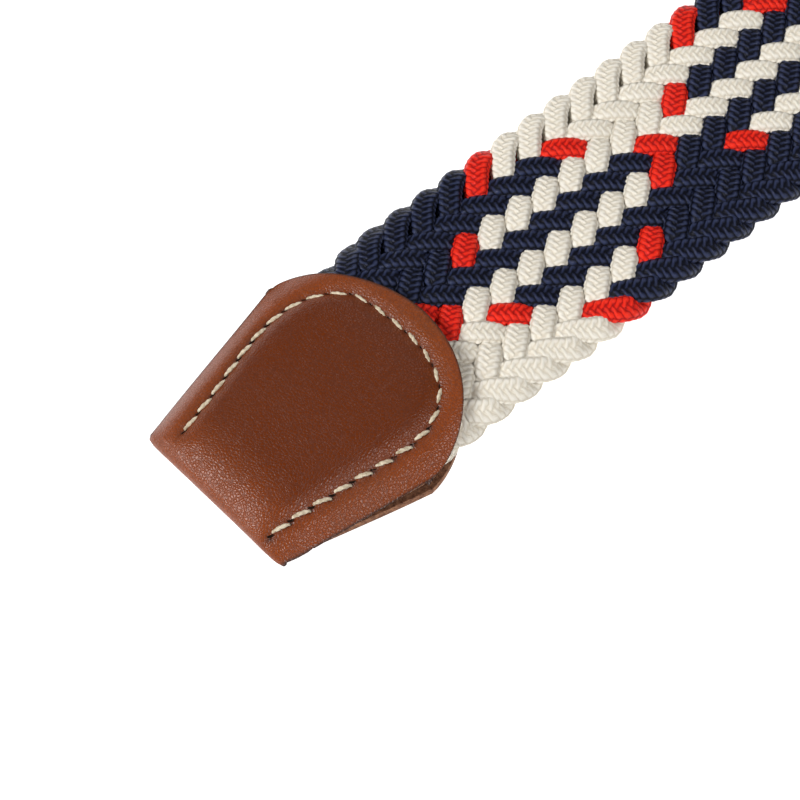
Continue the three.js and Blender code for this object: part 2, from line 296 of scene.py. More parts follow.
def cord_rings(u, number, count, travelled, look):
    """Rings of points round one cord, and the plait's own coordinates for each."""
    centre = cord_centre(u, number, look)
    to_edge = edge_distance(u)
    step = 1e-3
    tangent = cord_centre(u + step, number, look) - cord_centre(u - step, number, look)
    tangent /= np.linalg.norm(tangent, axis=1, keepdims=True)
    tilt = look.edge_tilt * closeness(to_edge, TILT_REACH)
    face = np.stack([np.zeros_like(u), heads_to(u) * np.sin(tilt), np.cos(tilt)], axis=-1)
    face -= tangent * np.sum(face * tangent, axis=1, keepdims=True)
    face /= np.linalg.norm(face, axis=1, keepdims=True)
    side = np.cross(tangent, face)

    length = np.linalg.norm(np.diff(centre, axis=0), axis=1)
    along = travelled + np.concatenate([[0.0], np.cumsum(length)]) / look.yarn_pitch
    turn = np.arange(count) / count
    out = np.abs(4 * turn - 2) - 1
    power = 2 / look.section_power
    cos, sin = np.cos(turn * 2 * math.pi), np.sin(turn * 2 * math.pi)
    wide = np.sign(cos) * np.abs(cos) ** power
    thick = np.sign(sin) * np.abs(sin) ** power
    grid = np.stack(np.meshgrid(along, out, indexing="ij"), axis=-1)
    calm = 1 - look.edge_calm * closeness(to_edge, CALM_REACH)
    depth = plait_relief(grid[..., 0], grid[..., 1], look) * (count == NEAR_POINTS) * calm[:, None]
    inside = smoothstep((to_edge - PINCH_FROM) / PINCH_RUN)
    pinch = 1 - look.float_pinch * inside * (1 - float_arc(u)[1]) ** 2
    half_wide = look.cord_width / 2 * pinch[:, None] - depth
    half_thick = look.cord_thickness / 2 - depth
    points = (centre[:, None, :]
              + side[:, None, :] * (half_wide * wide)[:, :, None]
              + face[:, None, :] * (half_thick * thick)[:, :, None])
    return points, grid


def ring_quads(rings, count, first):
    """Quads between rings that follow each other."""
    r, k = np.meshgrid(np.arange(rings - 1), np.arange(count), indexing="ij")
    near = first + r * count
    far = near + count
    nxt = (k + 1) % count
    return np.stack([near + k, far + k, far + nxt, near + nxt], axis=-1).reshape(-1, 4)


def build_cord(number, look, material):
    """One plaited cord along the whole strap, finely made where the view is close."""
    start = STRAP_LOW[0] + look.cord_thickness / 2
    end = STRAP_HIGH[0] - look.cord_thickness / 2

    def crossing(x):
        return (x - look.lattice_start) / look.crossing_step - 2 * number

    arc = math.hypot(look.crossing_step, look.strap_width / CORDS)
    parts = []
    for low, high, fine in ((start, look.near_from, False), (look.near_from, look.near_to, True),
                            (look.near_to, end, False)):
        step = (look.near_step if fine else look.far_step) / arc
        u0, u1 = crossing(low), crossing(high)
        parts.append((np.linspace(u0, u1, int(math.ceil((u1 - u0) / step)) + 1), fine))

    vertices, quads, others, plait = [], [], [], []
    first, before, last = 0, None, 0.0
    for u, fine in parts:
        count = NEAR_POINTS if fine else FAR_POINTS
        points, grid = cord_rings(u, number, count, last, look)
        last = grid[-1, 0, 0]
        vertices.append(points.reshape(-1, 3))
        coarse = np.full(grid.shape[:2] + (1,), float(not fine))
        plait.append(np.concatenate([grid, coarse], axis=-1).reshape(-1, 3))
        quads.append(ring_quads(len(u), count, first))
        if before is not None:
            others.extend(bridge(before, first, fine))
        before = first + (len(u) - 1) * count
        first += len(u) * count
    others.append(list(range(FAR_POINTS)))
    others.append(list(range(first - 1, first - 1 - FAR_POINTS, -1)))
    vertices = lay_strap(np.concatenate(vertices), look.strap_width / 2)
    faces = np.concatenate(quads).tolist() + others
    piece = mesh_piece(f"cord_{number + 1:02d}", vertices, faces, "braided_strap", [material])
    store_vectors(piece, "plait", np.concatenate(plait))


def bridge(before, first, to_fine):
    """Faces between a coarse ring and a fine ring with twice its points."""
    coarse, fine = (before, first) if to_fine else (first, before)
    faces = []
    for k in range(FAR_POINTS):
        n = (k + 1) % FAR_POINTS
        a, b = coarse + k, coarse + n
        c, d, e = fine + 2 * k, fine + 2 * k + 1, fine + (2 * k + 2) % NEAR_POINTS
        if to_fine:
            faces.extend([[a, c, d], [a, d, b], [b, d, e]])
        else:
            faces.extend([[c, a, d], [d, a, b], [d, b, e]])
    return faces


# The leather

# rows of a sheet on its lower flap, on each half of its fold and on its upper flap, and its
# columns, which crowd towards the sides
TIP_GRID = {"low": 20, "bend": 10, "top": 140, "across": 141}
TAB_GRID = {"low": 16, "bend": 8, "top": 70, "across": 71}
CROWDING = 0.9
# run from the fold over which the puff and the darker, smoother look inside the seam set in, in
# millimetres
FOLD_EASE = 9.0
# how close to a side the corner's rounding, the askew shifts and the tuck set in, as powers
CORNER_POWER = 6
LEAD_POWER = 6
LAG_POWER = 5
TUCK_POWER = 4
# shares of a wrap's length over which its sections are smoothed, and their weights
SPREAD = (-0.06, -0.03, 0.0, 0.03, 0.06)
WEIGHTS = (0.15, 0.22, 0.26, 0.22, 0.15)
# points along a seam, how many of them its corners are rounded over, and how far beyond the
# fold the ground between its arms goes on, in millimetres
SEAM_POINTS = 400
SEAM_BLUR = 27
SEAM_BEYOND = 9.0
# reach of the painted shade round a hole and of the painted shade along the seam, and run from
# the seam to where the leather is fully stretched, in millimetres
HOLE_SHADE = 0.5
SEAM_SHADE = 1.1
STRETCH_RUN = 2.5
# material slots of a sheet, and the least angle of a rounded rim
RAW_SIDE = 1
PAINTED_RIM = 2
RIM_ANGLE = math.radians(50)
# a stitch: its rings and their points, how far it rises and sinks and how flat it lies, as
# shares of its thickness, how thin its plies are between them, and how its ends taper
STITCH_RINGS = 25
STITCH_POINTS = 14
STITCH_RISE = 0.62
STITCH_SINK = 0.42
STITCH_FLAT = 0.8
PLY_NECK = 0.66
END_SHARE = 0.06
END_POWER = 0.3
# the painted shade lens in a needle hole: its points, and how far its rim and its middle stand up, in
# millimetres
HOLE_POINTS = 12
HOLE_LIFT = 0.02
HOLE_CROWN = 0.06

# How a wrap sits askew on the strap: turned by yaw, its +Y corner further along by lead, its
# -Y corner less far along by lag, and its open -Y side drawn in by tuck
Skew = namedtuple("Skew", "yaw lead lag tuck", defaults=(0.0, 0.0, 0.0, 0.0))


class StitchLine:
    """The seam of a wrap, a U open to its fold, in the wrap's own a and w."""

    def __init__(self, wrap, path, look):
        run, out = (np.array(path[key]) for key in ("run", "out"))
        knots = np.linspace(0, 1, len(run))
        fine = np.linspace(0, 1, SEAM_POINTS)
        a = np.interp(fine, knots, run) * wrap.length
        w = np.interp(fine, knots, out) * wrap.half_wrap
        blur = np.hanning(SEAM_BLUR)[1:-1]
        blur /= blur.sum()
        pad = len(blur) // 2
        a, w = (np.convolve(np.concatenate([2 * line[0] - line[pad:0:-1], line,
                                            2 * line[-1] - line[-2:-pad - 2:-1]]), blur, "valid")
                for line in (a, w))
        self.points = np.stack([a, w], axis=-1)
        steps = np.linalg.norm(np.diff(self.points, axis=0), axis=1)
        self.travel = np.concatenate([[0.0], np.cumsum(steps)])
        count = int(round(self.travel[-1] / look.stitch_pitch))
        self.holes = self.at(np.linspace(0, self.travel[-1], count + 1))

    def encloses(self, a, w):
        """Whether a place lies between the seam's arms."""
        ends = [[[-SEAM_BEYOND, self.points[end, 1]]] for end in (0, -1)]
        ring = np.concatenate([ends[0], self.points, ends[1]])
        inside = np.zeros(a.shape, dtype=bool)
        for (a0, w0), (a1, w1) in zip(ring, np.roll(ring, -1, axis=0)):
            spans = (w0 > w) != (w1 > w)
            meet = a0 + (w - w0) * (a1 - a0) / ((w1 - w0) or 1.0)
            inside ^= spans & (a < meet)
        return inside

    def at(self, travel):
        """Places at these lengths along the seam."""
        return np.stack([np.interp(travel, self.travel, self.points[:, k]) for k in (0, 1)], axis=-1)

    def distances(self, a, w):
        """Distance of each place to the seam, and to its nearest needle hole."""
        place = np.stack([a.ravel(), w.ravel()], axis=-1)
        found = []
        for goal in (self.points, self.holes):
            gap = np.full(len(place), np.inf)
            for point in goal:
                gap = np.minimum(gap, np.hypot(place[:, 0] - point[0], place[:, 1] - point[1]))
            found.append(gap.reshape(a.shape))
        return found


def smooth_fill(wrap, a, w):
    """The wrap's fill with the corners of its table of sections smoothed out."""
    return sum(weight * wrap.fill(np.maximum(a + shift * wrap.length, 0), w)
               for shift, weight in zip(SPREAD, WEIGHTS))


def dome_height(wrap, seam, look, a, w):
    """Height of the upper leather's face, with the seam pulled down into it."""
    height = 2 * COVER + smooth_fill(wrap, a, w)
    to_seam, to_hole = seam.distances(a, w)
    inside = seam.encloses(a, w) * smoothstep(to_seam / look.puff_reach) * smoothstep(a / FOLD_EASE)
    height = height + look.puff * inside
    height = height - look.seam_depth * closeness(to_seam, look.seam_width)
    return height - look.hole_depth * closeness(to_hole, look.hole_width)


def wrap_sheet(wrap, seam, look, grid, skew):
    """Middle surface of the folded leather, from the lower arch round the fold to the upper,
    and the distance of its places to the cut edge."""
    bow = np.linspace(-1, 1, grid["across"]) * math.pi / 2 * CROWDING
    q = np.sin(bow) / math.sin(math.pi / 2 * CROWDING)
    out = np.abs(q)
    reach = wrap.reach(q)
    corner = look.fold_corner * (1 - np.sqrt(1 - out ** CORNER_POWER))
    first = LEATHER / 2 + corner
    tall = 2 * COVER + smooth_fill(wrap, first, q * wrap.half_fold) - LEATHER
    low_run, top_run = tall / 2, np.full_like(q, look.fold_run)

    def opened(a):
        return np.clip((a - look.closed_run) / (wrap.side - look.closed_run), 0, 1)

    def low_height(a, w):
        return LEATHER / 2 + np.zeros_like(a)

    def top_height(a, w):
        height = dome_height(wrap, seam, look, a, w) - LEATHER / 2
        drop = height - LEATHER / 2 - look.edge_open * opened(a)
        return height - np.clip(drop, 0, None) * out ** look.droop_power

    middle = (LEATHER / 2 + top_height(first, q * wrap.half_fold)) / 2

    def flap(share, height, run, shut_tuck, open_tuck):
        """Rows along a flap, whose sides are tucked in where it is shut and where it is open."""
        start = first + run
        a = start + (reach - start) * share[:, None]
        w = q * (wrap.half_width(a) - shut_tuck * (1 - opened(a)))
        w -= open_tuck * opened(a) * np.clip(q, 0, 1) ** TUCK_POWER
        return np.stack([a, w, height(a, w)], axis=-1)

    def bend(turn, height, run, shut_tuck):
        """Rows round one half of the fold."""
        turn = turn[:, None]
        a = first + run * (1 - np.sin(turn))
        w = q * (wrap.half_width(a) - shut_tuck * (1 - opened(a)) * np.cos(turn))
        return np.stack([a, w, middle + (height(a, w) - middle) * np.cos(turn)], axis=-1)

    quarter = math.pi / 2
    sheet = np.concatenate([
        flap(np.linspace(1, 0, grid["low"], endpoint=False), low_height, low_run, look.low_tuck, 0.0),
        bend(np.linspace(0, quarter, grid["bend"], endpoint=False), low_height, low_run, look.low_tuck),
        bend(np.linspace(quarter, 0, grid["bend"]), top_height, top_run, 0.0),
        flap(np.linspace(0, 1, grid["top"])[1:], top_height, top_run, 0.0, skew.tuck),
    ])
    run = sheet[..., 0].copy()
    to_edge = np.minimum((1 - out) * wrap.half_width(run), reach - run)
    shift = skew.lead * np.clip(-q, 0, 1) ** LEAD_POWER - skew.lag * np.clip(q, 0, 1) ** LAG_POWER
    sheet[..., 0] = run + shift * smoothstep(run / wrap.side)
    return sheet, to_edge


def place_on_belt(wrap, points, yaw):
    """From a wrap's own a, w and z to the belt's x, y and z, turned about the wrap's middle."""
    a, w, z = points[..., 0], points[..., 1], points[..., 2]
    if yaw:
        ahead = a - wrap.length / 2
        a = wrap.length / 2 + ahead * math.cos(yaw) - w * math.sin(yaw)
        w = ahead * math.sin(yaw) + w * math.cos(yaw)
    return np.stack([wrap.fold_x + wrap.way * a, -wrap.way * w, z], axis=-1)


def build_wrap(name, node, wrap, seam, look, grid, materials, skew, cut):
    """The folded leather as a sheet with its true thickness and slightly rounded cut edges."""
    sheet, to_edge = wrap_sheet(wrap, seam, look, grid, skew)
    rows, columns = sheet.shape[:2]
    r, k = np.meshgrid(np.arange(rows - 1), np.arange(columns - 1), indexing="ij")
    near = (r * columns + k).ravel()
    quads = np.stack([near, near + 1, near + columns + 1, near + columns], axis=-1)
    if cut is not None:
        centre = sheet.reshape(-1, 3)[quads].mean(axis=1)
        quads = quads[~cut(centre)]
    points = place_on_belt(wrap, sheet, skew.yaw).reshape(-1, 3)
    piece = mesh_piece(name, points, quads.tolist(), node, materials)
    a, w = sheet[..., 0], sheet[..., 1]
    to_seam, to_hole = seam.distances(a, w)
    upper = np.arange(rows)[:, None] >= grid["low"] + grid["bend"]
    inner = seam.encloses(a, w) * smoothstep(a / FOLD_EASE) * upper
    # material masks: painted shade along the seam, the panel inside the seam that is drawn darker and
    # smoother, and painted shade round the needle holes with the edge paint's lap onto the face
    at_seam = closeness(to_seam, SEAM_SHADE) * upper
    stretched = smoothstep(to_seam / STRETCH_RUN) * inner
    dark = np.maximum(closeness(to_hole, HOLE_SHADE) * upper, closeness(to_edge, look.paint_lap))
    store_vectors(piece, "leather_shade_stretch_paint", np.stack([at_seam, stretched, dark], axis=-1))
    wall = piece.modifiers.new("Wall", "SOLIDIFY")
    wall.thickness = LEATHER * MM
    wall.offset = 0.0
    wall.material_offset = RAW_SIDE
    wall.material_offset_rim = RAW_SIDE
    edge = piece.modifiers.new("Skived edge", "BEVEL")
    edge.width = look.edge_round * MM
    edge.segments = 2
    edge.material = PAINTED_RIM
    edge.limit_method = "ANGLE"
    edge.angle_limit = RIM_ANGLE
    bake_modifiers(piece)


def bake_modifiers(piece):
    """Makes the modified shape the piece's own mesh."""
    graph = bpy.context.evaluated_depsgraph_get()
    mesh = bpy.data.meshes.new_from_object(piece.evaluated_get(graph), preserve_all_data_layers=True,
                                           depsgraph=graph)
    piece.modifiers.clear()
    old = piece.data
    piece.data = mesh
    bpy.data.meshes.remove(old)


def seam_height(wrap, seam, look, place):
    """Height of the upper leather's face, rounded down at its fold."""
    a, w = place[:, 0], place[:, 1]
    height = dome_height(wrap, seam, look, a, w)
    fold = np.clip(1 - a / (look.fold_run + LEATHER / 2), 0, 1)
    return height - height / 2 * (1 - np.sqrt(1 - fold ** 2))


def build_stitches(name, wrap, seam, look, material, yaw):
    """Twisted thread from each needle hole to the next, dipping into the leather at both."""
    rings, around = STITCH_RINGS, STITCH_POINTS
    share = np.linspace(0, 1, rings)
    turn = np.arange(around) / around * 2 * math.pi
    twist = turn[None, :] - share[:, None] * look.thread_twist * 2 * math.pi
    swell = PLY_NECK + (1 - PLY_NECK) * np.abs(np.cos(twist))
    taper = np.sin(np.pi * (END_SHARE + (1 - 2 * END_SHARE) * share)) ** END_POWER
    radius = look.thread / 2 * swell * taper[:, None]
    lift = look.thread * (STITCH_RISE * np.sin(np.pi * share) ** 0.5 - STITCH_SINK)
    vertices, faces = [], []
    first = 0
    for start, end in zip(seam.holes[:-1], seam.holes[1:]):
        way = (end - start) / np.linalg.norm(end - start)
        side = np.array([-way[1], way[0]])
        start = start + way * look.stitch_gap - side * look.stitch_slant
        end = end - way * look.stitch_gap + side * look.stitch_slant
        line = start + (end - start) * share[:, None]
        ground = seam_height(wrap, seam, look, line)
        ground = ground[0] + (ground[-1] - ground[0]) * share
        middle = np.concatenate([line, (ground + lift)[:, None]], axis=-1)
        tangent = np.gradient(middle, axis=0)
        tangent /= np.linalg.norm(tangent, axis=1, keepdims=True)
        across = np.cross(tangent, np.array([0.0, 0.0, 1.0]))
        across /= np.linalg.norm(across, axis=1, keepdims=True)
        up = np.cross(across, tangent)
        ring = (middle[:, None, :] + across[:, None, :] * (radius * np.cos(turn))[:, :, None]
                + up[:, None, :] * (radius * STITCH_FLAT * np.sin(turn))[:, :, None])
        vertices.append(place_on_belt(wrap, ring, yaw).reshape(-1, 3))
        faces.extend(ring_quads(rings, around, first)[:, ::-1].tolist())
        faces.append(list(range(first + around - 1, first - 1, -1)))
        faces.append([first + (rings - 1) * around + k for k in range(around)])
        first += rings * around
    mesh_piece(name, np.concatenate(vertices), faces, None, [material])


def build_hole_shade(name, wrap, seam, look, material, yaw):
    """Painted shade in the slits that the needle left, as dark shallow lenses along the seam."""
    around = HOLE_POINTS
    turn = np.arange(around) / around * 2 * math.pi
    ways = np.gradient(seam.holes, axis=0)
    ways /= np.linalg.norm(ways, axis=1, keepdims=True)
    vertices, faces = [], []
    for hole, way in zip(seam.holes, ways):
        side = np.array([-way[1], way[0]])
        way = way * math.cos(look.slit_turn) + side * math.sin(look.slit_turn)
        side = np.array([-way[1], way[0]])
        rim = (hole + way * (look.slit_length / 2 * np.cos(turn))[:, None]
               + side * (look.slit_width / 2 * np.sin(turn))[:, None])
        rim = np.column_stack([rim, seam_height(wrap, seam, look, rim) + HOLE_LIFT])
        middle = np.append(hole, rim[:, 2].mean() + HOLE_CROWN)
        first = len(vertices)
        vertices.extend(place_on_belt(wrap, np.vstack([rim, middle]), yaw))
        faces.extend([first + k, first + around, first + (k + 1) % around] for k in range(around))
    mesh_piece(name, vertices, faces, None, [material])


# Materials

class Graph:
    """Short calls that add nodes to a node tree and link them."""

    def __init__(self, tree):
        self.tree = tree
        self.nodes = tree.nodes
        tree.nodes.clear()

    def node(self, kind, inputs=None, **settings):
        made = self.nodes.new(kind)
        for key, value in settings.items():
            setattr(made, key, value)
        for key, value in (inputs or {}).items():
            self.feed(made.inputs[key], value)
        return made

    def feed(self, socket, value):
        if isinstance(value, bpy.types.NodeSocket):
            self.tree.links.new(value, socket)
        else:
            socket.default_value = value

    def math(self, operation, *values):
        made = self.node("ShaderNodeMath", operation=operation)
        for socket, value in zip(made.inputs, values):
            self.feed(socket, value)
        return made.outputs[0]

    def plus(self, first, second):
        return self.math("ADD", first, second)

    def minus(self, first, second):
        return self.math("SUBTRACT", first, second)

    def times(self, first, second):
        return self.math("MULTIPLY", first, second)

    def mix(self, share, first, second):
        made = self.node("ShaderNodeMix", data_type="RGBA")
        self.feed(made.inputs["Factor"], share)
        self.feed(made.inputs["A"], first)
        self.feed(made.inputs["B"], second)
        return made.outputs["Result"]

    def span(self, value, low, high, to_low=0.0, to_high=1.0):
        made = self.node("ShaderNodeMapRange", {"Value": value, "From Min": low, "From Max": high,
                                                "To Min": to_low, "To Max": to_high})
        return made.outputs["Result"]

    def noise(self, place, scale, detail=2.0, roughness=0.5):
        made = self.node("ShaderNodeTexNoise", {"Vector": place, "Scale": scale, "Detail": detail,
                                                "Roughness": roughness})
        return made.outputs["Fac"]


def rgba(colour):
    return (*colour, 1.0)


def named_group(name, inputs, outputs):
    """A new node group with its own sockets, and its input and output nodes."""
    tree = bpy.data.node_groups.new(name, "ShaderNodeTree")
    graph = Graph(tree)
    for label, kind, default in inputs:
        socket = tree.interface.new_socket(label, in_out="INPUT", socket_type=kind)
        if default is not None:
            socket.default_value = default
    for label, kind in outputs:
        tree.interface.new_socket(label, in_out="OUTPUT", socket_type=kind)
    entry = graph.node("NodeGroupInput")
    leave = graph.node("NodeGroupOutput")
    return graph, entry.outputs, leave.inputs


def plaited_yarn_group():
    """Yarns of a plaited cord: their ridges, the grooves between them and their filaments."""
    name = "Plaited Yarn"
    if name in bpy.data.node_groups:
        return bpy.data.node_groups[name]
    graph, entry, leave = named_group(
        name,
        [("Plait", "NodeSocketVector", None), ("Lean", "NodeSocketFloat", 0.9),
         ("Filaments", "NodeSocketFloat", 7.0)],
        [("Ridge", "NodeSocketFloat"), ("Groove", "NodeSocketFloat"),
         ("Filament", "NodeSocketFloat"), ("Coarse", "NodeSocketFloat")])
    split = graph.node("ShaderNodeSeparateXYZ", {0: entry["Plait"]})
    along, out, coarse = split.outputs
    saw = graph.math("ABSOLUTE", graph.span(graph.math("FRACT", along), 0.0, 1.0, -1.0, 1.0))
    wave = graph.span(saw, 0.0, 1.0, -INTERLOCK, INTERLOCK)
    centred = graph.minus(1.0, graph.math("ABSOLUTE", out))
    apart = graph.math("ABSOLUTE", graph.plus(out, graph.times(wave, centred)))
    outer = graph.math("GREATER_THAN", apart, COLUMN)
    share = graph.math("FRACT", graph.math("DIVIDE", apart, COLUMN))
    row = graph.math("SINE", graph.times(share, math.pi))
    turned = graph.math("ABSOLUTE", graph.minus(outer, share))
    phase = graph.minus(along, graph.times(turned, entry["Lean"]))
    right = graph.math("GREATER_THAN", out, 0.0)
    phase = graph.plus(phase, graph.times(graph.plus(outer, right), 0.5))
    saw = graph.math("ABSOLUTE", graph.minus(graph.times(graph.math("FRACT", phase), 2.0), 1.0))
    ridge = graph.minus(1.0, graph.math("POWER", saw, RIDGE_POWER))
    height = graph.times(ridge, graph.math("POWER", row, COLUMN_POWER))
    # the ridge drives the relief and the cord's painted highlight, the groove its painted shade
    graph.feed(leave["Ridge"], height)
    graph.feed(leave["Groove"], graph.span(height, 0.4, 0.0))
    wander = graph.node("ShaderNodeCombineXYZ", {0: phase, 1: out})
    ripple = graph.noise(wander.outputs[0], scale=2.2)
    turns = graph.plus(graph.times(phase, entry["Filaments"]), ripple)
    filament = graph.math("SINE", graph.times(turns, 2 * math.pi))
    graph.feed(leave["Filament"], graph.span(filament, -1.0, 1.0))
    graph.feed(leave["Coarse"], coarse)
    return graph.tree


def leather_grain_group():
    """Pebbled grain with fine pores and soft blotches."""
    name = "Leather Grain"
    if name in bpy.data.node_groups:
        return bpy.data.node_groups[name]
    graph, entry, leave = named_group(
        name,
        [("Place", "NodeSocketVector", None), ("Grain Size", "NodeSocketFloat", 0.55)],
        [("Height", "NodeSocketFloat"), ("Crease", "NodeSocketFloat"),
         ("Blotch", "NodeSocketFloat")])
    scale = graph.math("DIVIDE", 1000.0, entry["Grain Size"])
    bend = graph.node("ShaderNodeTexNoise", {"Vector": entry["Place"], "Scale": 900.0, "Detail": 2.0})
    nudge = graph.node("ShaderNodeVectorMath", {0: bend.outputs["Color"], 1: (0.00045,) * 3},
                       operation="MULTIPLY")
    place = graph.node("ShaderNodeVectorMath", {0: entry["Place"], 1: nudge.outputs[0]},
                       operation="ADD").outputs[0]
    cells = graph.node("ShaderNodeTexVoronoi", {"Vector": place, "Scale": scale},
                       feature="DISTANCE_TO_EDGE")
    crease = graph.span(cells.outputs["Distance"], 0.0, 0.16, 1.0, 0.0)
    pebble = graph.span(cells.outputs["Distance"], 0.0, 0.35)
    pores = graph.noise(entry["Place"], scale=5200.0, detail=3.0, roughness=0.6)
    graph.feed(leave["Height"], graph.plus(graph.math("POWER", pebble, 0.7), graph.times(pores, 0.5)))
    # the crease mask, where the leather's material paints shade
    graph.feed(leave["Crease"], crease)
    graph.feed(leave["Blotch"], graph.noise(entry["Place"], scale=95.0, detail=4.0, roughness=0.6))
    return graph.tree


def mottle(graph, surface, scale, share, colours, rough, relief):
    """Sets two colours, the roughness and a fine relief that all follow one noise."""
    speck = graph.noise(place_of(graph), scale=scale, detail=4.0, roughness=0.7)
    graph.feed(surface["Base Color"], graph.mix(graph.span(speck, *share), *map(rgba, colours)))
    graph.feed(surface["Roughness"], graph.span(speck, 0.0, 1.0, *rough))
    graph.feed(surface["Normal"], bump_of(graph, speck, *relief))


def new_material(name, **shader):
    """A Principled material; its even values are set on the shader itself."""
    material = bpy.data.materials.new(name)
    material.use_nodes = True
    graph = Graph(material.node_tree)
    finish = graph.node("ShaderNodeOutputMaterial")
    surface = graph.node("ShaderNodeBsdfPrincipled")
    graph.tree.links.new(surface.outputs[0], finish.inputs["Surface"])
    for key, value in shader.items():
        surface.inputs[key.replace("_", " ").title().replace("Ior", "IOR")].default_value = value
    return material, graph, surface.inputs


def place_of(graph):
    return graph.node("ShaderNodeTexCoord").outputs["Object"]


def attribute_of(graph, name):
    return graph.node("ShaderNodeAttribute", attribute_name=name).outputs["Vector"]


def bump_of(graph, height, distance, strength=1.0, below=None):
    inputs = {"Height": height, "Distance": distance, "Strength": strength}
    if below is not None:
        inputs["Normal"] = below
    return graph.node("ShaderNodeBump", inputs).outputs[0]


def cord_material(dye, look):
    """Plaited yarn with a soft sheen, slightly uneven dye, painted shade in the grooves and a painted
    highlight on top.
    """
    material, graph, surface = new_material(
        f"{dye.title()} Cord", specular_ior_level=look.yarn_gloss, sheen_weight=look.yarn_sheen,
        sheen_roughness=0.35)
    colour, shadow, crest = (rgba(getattr(look, dye + tone)) for tone in ("", "_shade", "_crest"))
    yarn = graph.node("ShaderNodeGroup", node_tree=plaited_yarn_group())
    graph.feed(yarn.inputs["Plait"], attribute_of(graph, "plait"))
    yarn.inputs["Lean"].default_value = look.yarn_lean
    uneven = graph.span(graph.noise(place_of(graph), scale=420.0, detail=3.0), 0.3, 0.7)
    strand = graph.times(yarn.outputs["Filament"], 0.35)
    dyed = graph.mix(graph.times(graph.plus(uneven, strand), 0.22), colour, shadow)
    # painted shade: darker towards the shade colour in the grooves between the yarns
    deep = graph.mix(graph.times(yarn.outputs["Groove"], 0.7), dyed, shadow)
    # painted highlight: lighter towards the crest colour on top of the yarns
    lightened = graph.span(yarn.outputs["Ridge"], 0.25, 1.0)
    graph.feed(surface["Base Color"], graph.mix(graph.times(lightened, 0.75), deep, crest))
    graph.feed(surface["Roughness"], graph.span(yarn.outputs["Ridge"], 0.0, 1.0, 0.55, 0.27))
    filaments = bump_of(graph, yarn.outputs["Filament"], 0.00007, 0.6)
    share = graph.span(yarn.outputs["Coarse"], 0.0, 1.0, 0.45, 1.0)
    ridges = graph.times(yarn.outputs["Ridge"], share)
    graph.feed(surface["Normal"], bump_of(graph, ridges, look.yarn_relief * MM, 1.0, filaments))
    return material


def leather_material(name, look):
    """Tan leather: pebbled margins, smoother where stretched over the braid and darker inside the seam.
    """
    material, graph, surface = new_material(name, specular_ior_level=0.32)
    grain = graph.node("ShaderNodeGroup", node_tree=leather_grain_group())
    graph.feed(grain.inputs["Place"], place_of(graph))
    grain.inputs["Grain Size"].default_value = look.grain_size
    shade_stretch_paint = graph.node("ShaderNodeSeparateXYZ", {0: attribute_of(graph, "leather_shade_stretch_paint")})
    at_seam, stretched, dark = shade_stretch_paint.outputs
    blotch = graph.span(grain.outputs["Blotch"], 0.3, 0.7)
    tan = graph.mix(blotch, rgba(look.colour), rgba(look.colour_pale))
    # darker inside the seam
    inside_darker = graph.mix(graph.times(stretched, 0.85), tan, rgba(look.colour_inside_seam))
    # painted shade in the creases of the grain
    creased = graph.mix(graph.times(grain.outputs["Crease"], 0.45), inside_darker, rgba(look.colour_deep))
    # painted shade along the seam's dip
    seamed = graph.mix(graph.times(at_seam, 0.3), creased, rgba(look.colour_deep))
    # the edge paint's lap onto the face, and painted shade round the needle holes
    painted = graph.mix(graph.times(dark, 0.9), seamed, rgba(look.edge_paint))
    graph.feed(surface["Base Color"], painted)
    calm = graph.span(stretched, 0.0, 1.0, 1.0, 0.9)
    rough = graph.span(blotch, 0.0, 1.0, 0.37, 0.29)
    graph.feed(surface["Roughness"], graph.plus(rough, graph.times(grain.outputs["Crease"], 0.16)))
    height = graph.times(grain.outputs["Height"], calm)
    graph.feed(surface["Normal"], bump_of(graph, height, look.grain_depth * MM))
    return material


def edge_material(name, look):
    """Raw brown fibres on the leather's inner side and its cut edge."""
    material, graph, surface = new_material(name, specular_ior_level=0.25)
    mottle(graph, surface, scale=1500.0, share=(0.35, 0.7), rough=(0.95, 0.75),
           colours=(look.edge_raw, look.colour_deep), relief=(0.0002, 0.9))
    return material


def paint_material(name, look):
    """Dark paint along the two rims of the cut edge."""
    material, graph, surface = new_material(name, specular_ior_level=0.35)
    mottle(graph, surface, scale=900.0, share=(0.55, 0.75), rough=(0.45, 0.75),
           colours=(look.edge_paint, look.colour_deep), relief=(0.00008, 0.6))
    return material


def thread_material(name, look):
    """Waxed thread with fine plies."""
    material, graph, surface = new_material(name, specular_ior_level=0.4, sheen_weight=0.15)
    place = place_of(graph)
    mottled = graph.span(graph.noise(place, scale=1600.0, detail=4.0, roughness=0.65), 0.35, 0.7)
    graph.feed(surface["Base Color"], graph.mix(mottled, rgba(look.thread_colour),
                                                rgba(look.thread_shade)))
    graph.feed(surface["Roughness"], graph.span(mottled, 0.0, 1.0, 0.5, 0.7))
    plies = graph.noise(place, scale=6500.0, detail=3.0)
    graph.feed(surface["Normal"], bump_of(graph, plies, 0.00006, 0.7))
    return material


def hole_shade_material(name, look):
    """Painted shade inside the needle holes."""
    material, graph, surface = new_material(name, specular_ior_level=0.05, roughness=0.9)
    shade = graph.noise(place_of(graph), scale=2500.0)
    graph.feed(surface["Base Color"], graph.mix(shade, (0.002, 0.0015, 0.001, 1.0),
                                                (0.02, 0.01, 0.006, 1.0)))
    return material


